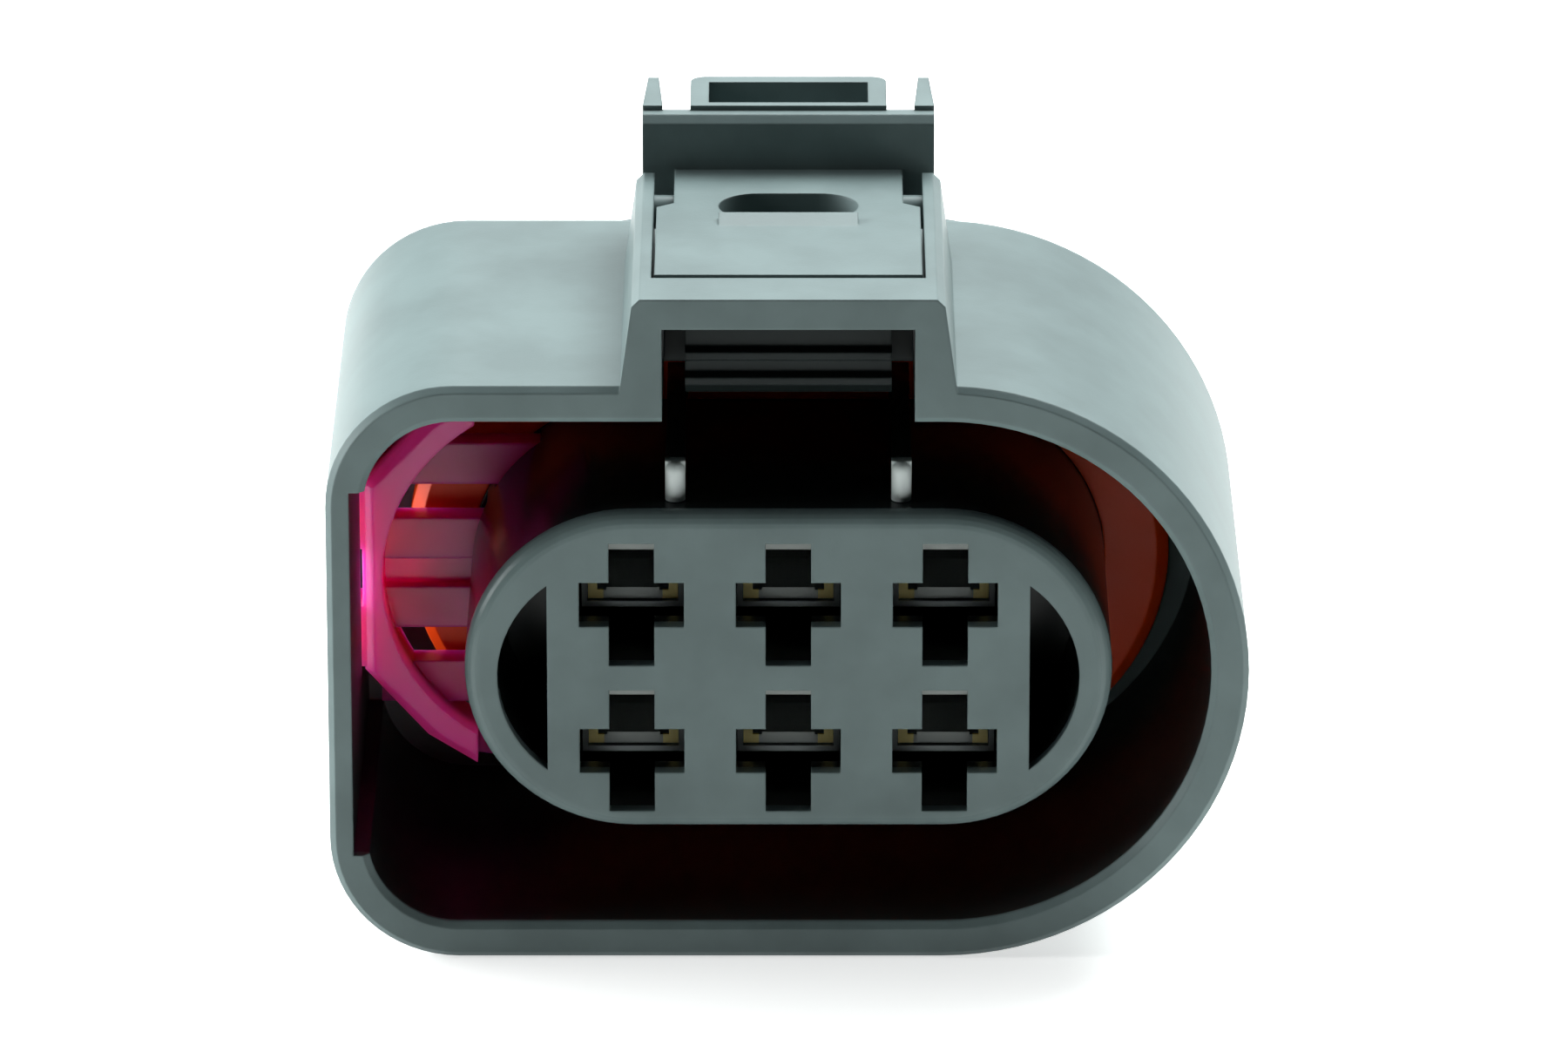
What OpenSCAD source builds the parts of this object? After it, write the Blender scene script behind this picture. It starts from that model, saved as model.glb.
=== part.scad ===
// Sealed six-way connector for a wiring harness: the receptacle half, with a sprung latch on
// top, a secondary lock that slides in from the left and a single-wire seal behind each contact.
// X runs across the mating face, Y from the mating face towards the wires and Z up to the latch.
// The origin is the centre of the core's mating face. Sizes are in millimetres.

/* [Contact grid] */
// Distance between neighbouring contacts, across and down
pitch = 5; // [4.9:0.05:5.5]
// How far the middle of the two rows lies below the middle of the core
row_drop = 0.2; // [0:0.05:0.3]

/* [Core] */
// From the axis of an outer column to the round end of the core
core_side = 5.35; // [5.1:0.05:6.5]
// From the middle between the rows, without their drop, to the top of the core
core_rise = 2.9; // [2.85:0.05:3.4]
// Rounding of the edge of the mating face
core_round = 0.5; // [0.2:0.05:0.7]
// From the axis of an outer column to the flat side of the weight-saving pocket
pocket_side = 2.7; // [2.5:0.05:3.2]
// Wall left outside the pocket
pocket_wall = 1.05; // [0.8:0.05:1.5]
// Radius of the pocket's round side
pocket_r = 3.9; // [3.5:0.05:4.2]
// Depth of the pocket
pocket_depth = 6.5; // [2:0.5:7]
// Width of a guide rib on top of the core
rib_w = 0.65; // [0.4:0.05:1]
// Height of a guide rib
rib_h = 1.3; // [0.8:0.1:1.6]
// From the middle of the core to the middle of a guide rib
rib_x = 3.6; // [2.5:0.1:4.4]
// How far the guide ribs start behind the mating face
rib_setback = 1; // [0.3:0.1:3]

/* [Cavities] */
// Width of the blade slot
blade_slot_w = 3.35; // [3:0.05:3.5]
// Height of the blade slot
blade_slot_h = 1.5; // [1:0.05:1.8]
// Width of the release tool's slot
tool_slot_w = 1.45; // [1:0.05:1.6]
// Height of the release tool's slot and of the room for the locking lances
tool_slot_h = 4.15; // [3.9:0.05:4.3]
// Thickness of the wall that the slots pass through
face_wall = 1; // [0.8:0.1:1.2]
// Width of the room for the locking lances
lance_room_w = 3.7; // [3.6:0.05:4]
// Depth from the mating face to the ledge that the lances catch on
lance_ledge = 7.4; // [7.2:0.1:7.8]
// Clearance round a contact in its passage
contact_clear = 0.1; // [0.05:0.01:0.15]
// Radius of the bore for a wire seal
seal_bore_r = 2.2; // [2.15:0.01:2.3]
// Depth from the mating face to where the bore for the seal starts
seal_bore_y = 21; // [20.8:0.1:22]
// Length of the housing behind the mating face
housing_l = 29; // [28.5:0.5:34]
// Wall round the outer seal bores
block_wall = 1; // [0.7:0.05:1.4]
// Bevel round the rear end of the housing and of the seal bores
rear_bevel = 0.35; // [0.1:0.05:0.5]

/* [Shroud] */
// Gap between the core and the shroud, for the mating half
mating_gap = 3.15; // [3:0.05:4]
// Wall of the shroud
wall = 1.2; // [1:0.05:1.6]
// How far the rim stands in front of the core
rim_lead = 0.3; // [0:0.05:1]
// Length of the shroud from its rim to its rear edge
shroud_l = 17; // [16.5:0.5:20]
// Outer radius of the two corners at the lock's side
corner_r = 4.1; // [3:0.1:5]
// Bevel on both edges of the rim
rim_bevel = 0.2; // [0.1:0.05:0.4]
// Rounding of the rear edge of the shroud
rear_round = 0.8; // [0.4:0.1:1.1]
// Wall left at the side where the lock's channel thins it
channel_wall = 0.75; // [0.6:0.05:0.9]
// Half height of that channel
channel_half_h = 6.2; // [5.8:0.1:6.8]
// Thickness of the floor that the interface seal rests on
floor_t = 1.4; // [1:0.1:2]
// Thickness of the ribs that tie the shroud to the rear block
web_t = 0.9; // [0.6:0.1:1.2]

/* [Latch bridge] */
// Height of the bridge above the shroud
bridge_rise = 2.95; // [2.7:0.05:3.5]
// Half width of the bridge at its top
bridge_half_w = 4.95; // [4.8:0.05:5.4]
// How much further each side reaches at the foot, as draft
bridge_draft = 0.45; // [0.1:0.05:0.8]
// Length of the fixed bar at the front
bridge_d = 2.1; // [1.6:0.1:2.2]
// Thickness of that bar
bridge_t = 1; // [0.8:0.05:1.2]
// Bevel along the top edges of the bridge
bridge_bevel = 0.25; // [0.1:0.05:0.4]
// Half width of the opening under the bar
tunnel_half_w = 4; // [3.7:0.05:4.2]
// Thickness of the cheeks beside the lever, at the top
cheek_t = 0.6; // [0.55:0.05:0.8]
// Depth from the mating face to the rear ends of the cheeks
cheek_end = 12.2; // [11.9:0.1:12.3]
// Depth from the mating face to the end of the opening under the lever
hatch_end = 5.6; // [5.2:0.1:6.5]

/* [Lever] */
// Slit between the fixed bar and the lever
lever_slit = 0.3; // [0.2:0.05:0.4]
// Gap between the lever and each cheek
lever_gap = 0.1; // [0.08:0.01:0.2]
// Thickness of the lever's plate
lever_t = 1.15; // [0.9:0.05:1.3]
// Half width of the lever beside the torsion bars
waist_half_w = 3.7; // [3.2:0.05:3.8]
// How far in front of the torsion bars the lever narrows
waist_lead = 1.85; // [1.4:0.05:2.2]
// Length over which it narrows
waist_run = 0.4; // [0.2:0.05:0.8]
// Depth from the mating face to the torsion bars' axis
pivot_y = 10.6; // [10.2:0.1:11]
// How far that axis lies below the top of the lever
pivot_drop = 0.8; // [0.7:0.05:0.9]
// Radius of a torsion bar
pivot_r = 0.55; // [0.4:0.01:0.6]
// Clearance round a torsion bar in its socket
pivot_clear = 0.04; // [0.02:0.01:0.06]
// Skin left outside the socket
socket_skin = 0.3; // [0.2:0.05:0.4]
// Half width of the catch
hook_half_w = 3.3; // [2.6:0.1:3.4]
// Depth from the mating face to the front of the catch
hook_y = 2.9; // [2.6:0.1:3.2]
// Length of the catch along the connector
hook_l = 1.5; // [1.3:0.1:1.8]
// How far the catch reaches below the lever's plate
hook_drop = 3.35; // [3.1:0.05:3.5]
// How far the two ridges stand out of the catch's front
ridge_out = 0.3; // [0.1:0.05:0.5]
// Height of a ridge's flat front
ridge_h = 0.25; // [0.1:0.05:0.4]
// Distance from one ridge to the next
ridge_pitch = 0.85; // [0.7:0.05:1]
// Height of the slanted lead-in under the lower ridge
hook_lead = 0.5; // [0.3:0.05:0.8]
// Half length of the slot through the lever, across the connector
eye_half_l = 2.25; // [1.6:0.05:2.6]
// Width of that slot
eye_w = 2.5; // [1.6:0.1:2.6]
// How far the middle of that slot lies in front of the torsion bars
eye_lead = 1.75; // [1.7:0.05:2.4]
// Height of the finger ramp in front of that slot
ramp_h = 0.22; // [0.1:0.01:0.3]
// Length of the ramp along the connector
ramp_l = 0.7; // [0.5:0.05:1.6]

/* [Thumb pad] */
// Gap between the cheeks and the pad's wall
pad_gap = 0.35; // [0.3:0.05:0.5]
// Half width of the pad's wall
pad_half_w = 4.75; // [4.4:0.05:5]
// Height of the wall above the lever
pad_rise = 1.8; // [1.2:0.1:2.4]
// Thickness of the wall
pad_t = 0.75; // [0.6:0.05:1]
// Bevel along the top edge of the wall
pad_bevel = 0.25; // [0.1:0.05:0.4]
// Length of the hollow block behind the wall
pad_l = 3; // [2.5:0.1:3.6]
// Half width of the hollow block
pad_block_half_w = 3.2; // [2.8:0.05:3.4]
// How far the block stands above the wall
pad_block_rise = 0.15; // [0.05:0.05:0.4]
// Radius of the block's rear corners
pad_block_r = 0.5; // [0.2:0.05:0.8]
// Wall round the hollow in the block
pad_hollow_wall = 0.6; // [0.45:0.05:0.8]
// Thickness of the floor under the hollow
pad_floor_t = 0.8; // [0.6:0.05:1.2]
// Thickness of the rib behind each end of the wall, at its root
ear_t = 0.65; // [0.5:0.05:0.7]
// Thickness of that rib at its rear end
ear_tip = 0.35; // [0.2:0.05:0.45]
// Length of the rib along the connector
ear_l = 2.9; // [2:0.1:3.2]

/* [Secondary lock] */
// Travel from the delivery position to the locked one
lock_travel = 2; // [1.9:0.05:2.1]
// Clearance between the lock's head and the side wall
lock_gap = 0.1; // [0.05:0.01:0.2]
// Clearance left between the head and the core when locked
lock_seat_gap = 0.9; // [0.6:0.05:1]
// Half height of the head's flat side
head_half_h = 3.2; // [2.8:0.1:3.4]
// How far the head's slanted corners reach towards the core
head_corner_x = 2.05; // [1.8:0.05:2.3]
// Half height of the head where the slanted corners end
head_corner_z = 5.5; // [5.2:0.05:5.7]
// From the head's flat side to the arms
arm_x = 3.65; // [3.4:0.05:3.9]
// Half height of the arms where they start
arm_z = 6.5; // [6.3:0.05:6.6]
// Length of the arms along the core
arm_l = 2.7; // [1:0.1:2.9]
// Half height of the arms at their tips
arm_tip_z = 6.9; // [6.7:0.05:7.2]
// How far the head's front edge stands before the comb
comb_setback = 1.3; // [0.9:0.05:1.5]
// Thickness of the comb along the connector
comb_t = 1; // [0.8:0.05:1.2]
// Play between the contacts' shoulders and the comb
comb_play = 0.2; // [0.1:0.05:0.25]
// Half height of the gap that the contacts' necks pass through
comb_gap = 0.6; // [0.55:0.01:0.65]
// Height of a comb bar
comb_bar_h = 1.4; // [1.35:0.01:1.42]
// Height of the thin spine between the teeth
comb_spine = 0.4; // [0.35:0.01:0.42]
// Width of a tooth
tooth_w = 1.3; // [1.1:0.05:1.35]
// How far the web between the two pairs of bars lies behind their front
web_setback = 0.5; // [0.3:0.05:0.6]
// How far the web reaches beyond the bore of the head
web_reach = 3.2; // [2.8:0.1:3.6]
// Clearance round the comb in the core
comb_clear = 0.1; // [0.06:0.01:0.12]
// Bevel on the head's front edge
head_bevel = 0.35; // [0.1:0.05:0.5]
// Half height of the push boss
boss_half_h = 3.1; // [2.4:0.1:3.1]
// Half height of the groove across the boss
boss_groove = 1; // [0.4:0.1:1.2]
// How far the boss lies within the head at its front and rear
boss_inset = 0.3; // [0.1:0.05:0.4]
// Gap round the boss in the side window
window_gap = 0.2; // [0.1:0.05:0.4]
// How much further the side window reaches behind the boss
window_rear = 1.5; // [0.5:0.1:2]

/* [Interface seal] */
// Length of the seal along the core
seal_l = 2.7; // [2:0.05:2.9]
// Gap between the secondary lock and the seal
seal_stand = 0.2; // [0.1:0.05:0.5]
// Height of the sealing lips above the core
seal_lip = 2.15; // [1.8:0.05:2.3]
// Depth of the grooves between the lips
seal_groove = 0.4; // [0.2:0.05:0.6]
// Gap between the seal and the core it is stretched over
seal_fit = 0.02; // [0.01:0.01:0.05]

/* [Contacts] */
// Depth from the mating face to the tip of a contact
contact_tip = 3.3; // [3:0.1:3.5]
// Length of the contact's box, up to its rear shoulder
box_l = 6; // [5.8:0.1:6.2]
// Width of the copper box
box_w = 2.9; // [2.6:0.05:3]
// Height of the copper box
box_h = 2.3; // [2:0.05:2.35]
// Thickness of the copper strip
strip_t = 0.3; // [0.2:0.01:0.32]
// Opening between the contact arms at their tightest point
arm_nip = 0.7; // [0.5:0.05:0.8]
// Opening between the contact arms at the mouth
arm_mouth = 1.3; // [1.1:0.05:1.4]
// Depth of the tightest point behind the tip
nip_depth = 1.8; // [1.4:0.1:2.4]
// Depth behind the tip at which the arms leave the box
arm_root = 4.8; // [4.4:0.1:5]
// Thickness of the steel over-spring
cage_t = 0.18; // [0.12:0.01:0.2]
// Gap between the box and the over-spring clipped round it
cage_fit = 0.02; // [0.01:0.01:0.03]
// How far the over-spring starts behind the tip of the contact
cage_lead = 0.1; // [0.05:0.05:0.3]
// How far the over-spring reaches behind the ledge that the lances catch on
cage_tail = 0.6; // [0.3:0.05:1]
// Width of a locking lance
lance_w = 1.2; // [0.8:0.05:1.4]
// Length of a lance
lance_l = 2.2; // [1.6:0.1:2.6]
// Play between the lance and its ledge
lance_play = 0.25; // [0.1:0.05:0.4]
// How far a lance stands out of the over-spring
lance_rise = 0.6; // [0.4:0.05:0.62]
// Width of the contact's neck
neck_w = 1.7; // [1.4:0.05:1.8]
// Height of the contact's neck
neck_h = 0.84; // [0.7:0.01:0.9]
// Distance from the comb to the crimp on the conductor
crimp_lead = 0.7; // [0.4:0.1:1.2]
// Outer radius of the crimp on the conductor
wire_crimp_r = 1.05; // [0.9:0.05:1.2]
// Length of the crimp on the conductor
wire_crimp_l = 4.2; // [3:0.1:4.5]
// Inner radius of the crimp on the conductor
wire_crimp_bore_r = 0.7; // [0.5:0.05:0.75]
// Length of the crimp on the seal's neck
seal_crimp_l = 2.8; // [2:0.1:3]
// How far that crimp ends before the bore for the seal
seal_crimp_gap = 0.2; // [0.1:0.05:0.4]

/* [Wire seals] */
// Radius of the hole for the wire
wire_r = 0.8; // [0.6:0.05:0.85]
// Radius of the seal's neck
seal_neck_r = 1.08; // [1:0.01:1.11]
// Clearance round the neck in its crimp
seal_neck_clear = 0.03; // [0.01:0.01:0.04]
// Length of the seal's neck
seal_neck_l = 3.2; // [3:0.1:3.4]
// Clearance round the lips in their bore
lip_clear = 0.03; // [0.01:0.01:0.06]
// Depth of the grooves between the lips of a wire seal
lip_depth = 0.45; // [0.3:0.05:0.6]
// How far the lips start behind the front of the seal's body
lip_lead = 0.3; // [0.1:0.05:0.5]
// Length of the plain rear end of a wire seal
tail_l = 0.9; // [0.5:0.05:1.2]
// Bevel at the front of that end
tail_bevel = 0.1; // [0.05:0.05:0.2]
// How far the body of a wire seal lies inside its bore
body_gap = 0.3; // [0.1:0.05:0.5]
// How far the wire seals end before the rear face
wire_seal_recess = 0.1; // [0:0.05:0.5]

/* [Hidden] */
$fn = 48;
cut = 0.5;      // how far a cutter runs past the face that it opens
lap = 0.05;     // how far two pieces of one moulding run into each other

columns = 3;
row_z = [pitch / 2 - row_drop, -pitch / 2 - row_drop];
function column_x(i) = (i % columns - (columns - 1) / 2) * pitch;
function seat(i) = [column_x(i), 0, row_z[floor(i / columns)]];
outer_column = (columns - 1) / 2 * pitch;

core_half_h = pitch / 2 + core_rise;
core_half_w = outer_column + core_side;
core_end_x = core_half_w - core_half_h;

shroud_half_h = core_half_h + mating_gap + wall;
shroud_half_w = core_half_w + mating_gap + wall;
shroud_arc_x = shroud_half_w - shroud_half_h;
corner_x = corner_r - shroud_half_w;
corner_z = shroud_half_h - corner_r;
rim_y = -rim_lead;
shroud_end = shroud_l - rim_lead;
channel_x = -shroud_half_w + channel_wall;

block_r = seal_bore_r + block_wall;

bridge_top = shroud_half_h + bridge_rise;
bridge_rear = bridge_d + rim_y;
bay_half_w = bridge_half_w - cheek_t;
lever_y = bridge_rear + lever_slit;
lever_half_w = bay_half_w - lever_gap;
lever_under = bridge_top - lever_t;
pivot_z = bridge_top - pivot_drop;
socket_x = bridge_half_w - socket_skin;
pad_y = cheek_end + pad_gap;
pad_rear = pad_y + pad_t + pad_l;

cage_w = box_w + 2 * (cage_fit + cage_t);
cage_h = box_h + 2 * (cage_fit + cage_t);
shoulder_y = contact_tip + box_l;
comb_y = shoulder_y + comb_play;
comb_rear = comb_y + comb_t;
head_y = comb_y - comb_setback;
head_x = channel_x + lock_gap;
lock_arc_x = -core_end_x - lock_travel;
lock_arc_r = core_half_h + lock_seat_gap;
comb_root = lock_arc_x - lock_arc_r - 2 * lap;
comb_end = column_x(columns - 1) - pitch / 2 + tooth_w / 2;
comb_top = comb_gap + comb_bar_h;
web_end = lock_arc_x - lock_arc_r + web_reach;
boss_x = -shroud_half_w + lock_gap;
boss_y = head_y + boss_inset;
boss_rear = comb_rear - boss_inset;

seal_flanks = 6; // flanks of lips and grooves along the interface seal
seal_y = comb_rear + seal_stand;
floor_y = seal_y + seal_l;

seal_crimp_end = seal_bore_y - seal_crimp_gap;
seal_body_y = seal_bore_y + body_gap;
wire_seal_end = housing_l - wire_seal_recess;
lip_count = 3;
lip_pitch = (wire_seal_end - tail_l - seal_body_y - lip_lead) / lip_count;

// The outline drawn in X and Z, run along Y from y0 to y1
module along_y(y0, y1)
    translate([0, y0, 0]) to_y() linear_extrude(y1 - y0) children();

// The outline drawn in Y and Z, run along X from x0 to x1
module along_x(x0, x1)
    translate([x0, 0, 0]) rotate([90, 0, 90]) linear_extrude(x1 - x0) children();

// What stands along Z is laid along Y, and what lies in Y is stood along Z
module to_y() rotate([90, 0, 0]) mirror([0, 0, 1]) children();

// A profile of [radius, y] points turned about a line along Y, from angle a0 on by turn
module turned(points, turn = 360, a0 = 0)
    to_y() rotate_extrude(angle = turn, start = a0) polygon(points);

// A box between two corners
module block(low, high) translate(low) cube(high - low);

// Points moved out by a radius, in [radius, y] or in [y, radius] order
function out_by(points, r) = [for (p = points) [p[0] + r, p[1]]];
function swapped(points) = [for (p = points) [p[1], p[0]]];

// A profile of [height above the core, y] points carried round the core's stadium outline
module round_core(points) {
    for (side = [-1, 1])
        translate([side * core_end_x, 0, 0])
            turned(out_by(points, core_half_h), 180, side * 90 + 180);
    for (up = [0, 1])
        mirror([0, 0, up])
            along_x(-core_end_x, core_end_x) polygon(swapped(out_by(points, core_half_h)));
}

// A profile of [distance outside the shroud, y] points carried round the shroud's outline:
// one large half turn at the right, flat top and bottom, two small corners at the left
module round_shroud(points) {
    translate([shroud_arc_x, 0, 0]) turned(out_by(points, shroud_half_h), 180, -90);
    for (up = [0, 1])
        mirror([0, 0, up]) {
            along_x(corner_x, shroud_arc_x) polygon(swapped(out_by(points, shroud_half_h)));
            translate([corner_x, 0, corner_z]) turned(out_by(points, corner_r), 90, 90);
        }
    translate([0, 0, -corner_z])
        linear_extrude(2 * corner_z)
            polygon([for (p = points) [-shroud_half_w - p[0], p[1]]]);
}

// A solid slab with the shroud's outline, inset by some distance
module shroud_slab(inset, y0, y1) {
    high = shroud_half_h - inset;
    left = -shroud_half_w + inset;
    translate([shroud_arc_x, y0, 0]) to_y() cylinder(r = high, h = y1 - y0);
    block([corner_x, y0, -high], [shroud_arc_x, y1, high]);
    block([left, y0, -corner_z], [corner_x + lap, y1, corner_z]);
    for (side = [-1, 1])
        translate([corner_x, y0, side * corner_z])
            to_y() cylinder(r = corner_r - inset, h = y1 - y0);
}

// The wall of the shroud: bevelled at the rim and rounded at its rear edge
module shroud_wall() {
    corner = [for (a = [0 : 15 : 90])
        [rear_round * (cos(a) - 1), shroud_end + rear_round * (sin(a) - 1)]];
    round_shroud(concat(
        [[-wall, rim_y + rim_bevel], [-wall + rim_bevel, rim_y]],
        [[-rim_bevel, rim_y], [0, rim_y + rim_bevel]],
        corner, [[-wall, shroud_end]]));
}

// The stadium-shaped core, rounded round its mating face and filled up to the axis
module core() {
    edge = [for (a = [0 : 18 : 90]) core_round * [sin(a) - 1, 1 - cos(a)]];
    round_core(concat([[-core_half_h, 0]], edge,
                      [[0, floor_y + floor_t], [-core_half_h, floor_y + floor_t]]));
}

// A guide rib on top of and under the core, with a rounded nose
module guide_rib() {
    nose = rib_w / 2;
    top = core_half_h + rib_h;
    block([-nose, rib_setback + nose, core_half_h - rib_h], [nose, seal_y - lap, top]);
    translate([0, rib_setback + nose, core_half_h - rib_h]) cylinder(r = nose, h = 2 * rib_h - nose);
    translate([0, rib_setback + nose, top - nose]) sphere(nose);
}

// The block behind the shroud that holds the wire seals: round corners, bevelled rear end
module rear_block() {
    y0 = floor_y;
    rear = housing_l;
    low = row_z[1] - block_r;
    high = row_z[0] + block_r;
    side = outer_column + block_r;
    for (i = [0, columns - 1, columns, 2 * columns - 1])
        translate(seat(i))
            turned([[0, y0], [block_r, y0], [block_r, rear - rear_bevel],
                    [block_r - rear_bevel, rear], [0, rear]]);
    along_x(-outer_column, outer_column)
        polygon([[y0, low], [rear - rear_bevel, low], [rear, low + rear_bevel],
                 [rear, high - rear_bevel], [rear - rear_bevel, high], [y0, high]]);
    translate([0, 0, row_z[1]])
        linear_extrude(pitch)
            polygon([[-side, y0], [side, y0], [side, rear - rear_bevel],
                     [side - rear_bevel, rear], [rear_bevel - side, rear],
                     [-side, rear - rear_bevel]]);
}

// Ribs between the rear block and the shroud, one behind each column and one at each side
module tie_ribs() {
    for (i = [0 : columns - 1])
        block([column_x(i) - web_t / 2, floor_y, -shroud_half_h + wall / 2],
              [column_x(i) + web_t / 2, shroud_end - rear_round, shroud_half_h - wall / 2]);
    block([-shroud_half_w + wall / 2, floor_y, -row_drop - web_t / 2],
          [shroud_half_w - wall / 2, shroud_end - rear_round, -row_drop + web_t / 2]);
}

// One cavity, cut from the mating face to the rear end, at a contact's seat
module cavity() {
    along_y(-cut, face_wall + cut) {
        square([blade_slot_w, blade_slot_h], center = true);
        square([tool_slot_w, tool_slot_h], center = true);
    }
    along_y(face_wall, lance_ledge) square([lance_room_w, tool_slot_h], center = true);
    along_y(lance_ledge - lap, seal_bore_y + lap)
        square([cage_w, cage_h] + [2, 2] * contact_clear, center = true);
    turned([[0, seal_bore_y], [seal_bore_r, seal_bore_y],
            [seal_bore_r, housing_l - rear_bevel], [seal_bore_r + rear_bevel, housing_l],
            [seal_bore_r + rear_bevel, housing_l + cut], [0, housing_l + cut]]);
}

// The D-shaped pocket in each end of the core
module end_pocket() {
    intersection() {
        translate([core_half_w - pocket_wall - pocket_r, -cut, -row_drop])
            to_y() cylinder(r = pocket_r, h = pocket_depth + cut);
        block([outer_column + pocket_side, -cut, -core_half_h],
              [core_half_w, pocket_depth, core_half_h]);
    }
}

// The outline of one comb bar above a row, in X and Z from the row's middle
module comb_bar() {
    square_between([comb_root, comb_top - comb_spine], [comb_end, comb_top]);
    square_between([comb_root, comb_gap], [column_x(0) - (pitch - tooth_w) / 2, comb_top]);
    for (i = [1 : columns - 1])
        square_between([column_x(i) - pitch / 2 - tooth_w / 2, comb_gap],
                       [column_x(i) - pitch / 2 + tooth_w / 2, comb_top]);
}

module square_between(low, high) translate(low) square(high - low);

// The slots in the core that the comb slides in
module comb_slots() {
    reach = comb_end + lock_travel + 2 * comb_clear;
    for (z = row_z, up = [0, 1])
        translate([0, 0, z]) mirror([0, 0, up])
            block([-core_half_w - cut, comb_y - comb_clear, comb_gap - comb_clear],
                  [reach, comb_rear + comb_clear, comb_top + comb_clear]);
    block([-core_half_w - cut, comb_y - comb_clear, row_z[1]],
          [web_end + lock_travel + 2 * comb_clear, comb_rear + comb_clear, row_z[0]]);
}

// The bridge over the front of the latch and the drafted cheeks behind it
module bridge() {
    foot = bridge_half_w + bridge_draft;
    along_y(rim_y, cheek_end)
        polygon([[-foot, shroud_half_h - wall / 2],
                 [-bridge_half_w, bridge_top - bridge_bevel],
                 [bridge_bevel - bridge_half_w, bridge_top],
                 [bridge_half_w - bridge_bevel, bridge_top],
                 [bridge_half_w, bridge_top - bridge_bevel],
                 [foot, shroud_half_h - wall / 2]]);
}

// What the bridge leaves open: the tunnel, the bay for the lever and the torsion bars' sockets
module bridge_openings() {
    floor_z = core_half_h + mating_gap / 2;
    block([-tunnel_half_w, rim_y - cut, floor_z],
          [tunnel_half_w, hatch_end, bridge_top - bridge_t]);
    block([-bay_half_w, bridge_rear, shroud_half_h],
          [bay_half_w, cheek_end + cut, bridge_top + cut]);
    translate([-socket_x, pivot_y, pivot_z])
        rotate([0, 90, 0]) cylinder(r = pivot_r + pivot_clear, h = 2 * socket_x);
}

module housing() {
    color("#5f6c6c")
    difference() {
        union() {
            shroud_wall();
            core();
            shroud_slab(wall / 2, floor_y, floor_y + floor_t);
            rear_block();
            tie_ribs();
            bridge();
            for (side = [-1, 1]) translate([side * rib_x, 0, 0]) guide_rib();
        }
        for (i = [0 : 2 * columns - 1]) translate(seat(i)) cavity();
        end_pocket();
        mirror([1, 0, 0]) end_pocket();
        comb_slots();
        bridge_openings();
        block([channel_x, rim_y - cut, -channel_half_h],
              [corner_x, floor_y, channel_half_h]);
        block([-shroud_half_w - cut, boss_y - window_gap, -boss_half_h - window_gap],
              [corner_x, boss_rear + window_rear, boss_half_h + window_gap]);
    }
}

// The lever's plate, wide at the front and waisted beside the torsion bars, with its slot and
// the ramp that guides a finger or a tool into it
module lever_plate() {
    waist_y = pivot_y - waist_lead;
    eye_y = pivot_y - eye_lead;
    eye_x = eye_half_l - eye_w / 2;
    eye_front = eye_y - eye_w / 2;
    difference() {
        translate([0, 0, lever_under])
            linear_extrude(lever_t)
                polygon([[-lever_half_w, lever_y], [lever_half_w, lever_y],
                         [lever_half_w, waist_y], [waist_half_w, waist_y + waist_run],
                         [waist_half_w, pad_y + lap], [-waist_half_w, pad_y + lap],
                         [-waist_half_w, waist_y + waist_run], [-lever_half_w, waist_y]]);
        for (side = [-1, 1])
            translate([side * eye_x, eye_y, lever_under - cut])
                cylinder(r = eye_w / 2, h = lever_t + 2 * cut);
        block([-eye_x, eye_front, lever_under - cut],
              [eye_x, eye_y + eye_w / 2, bridge_top + cut]);
    }
    along_x(-eye_half_l, eye_half_l)
        polygon([[eye_front - ramp_l, bridge_top], [eye_front, bridge_top + ramp_h],
                 [eye_front, bridge_top - lap], [eye_front - ramp_l, bridge_top - lap]]);
}

// The catch under the front of the lever: a slanted lead-in and two ridges in front, a square
// rear face
module hook() {
    back = hook_y + ridge_out;
    foot = lever_under - hook_drop;
    ridge = [[ridge_out, -ridge_h / 2], [0, 0], [0, ridge_h], [ridge_out, 3 * ridge_h / 2]];
    ridges = [for (n = [0, 1], p = ridge)
        [hook_y + p[0], foot + hook_lead + n * ridge_pitch + p[1]]];
    along_x(-hook_half_w, hook_half_w)
        polygon(concat([[hook_y + hook_l, foot], [hook_y + hook_l / 2, foot]], ridges,
                       [[back, lever_under + lap], [hook_y + hook_l, lever_under + lap]]));
}

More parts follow.
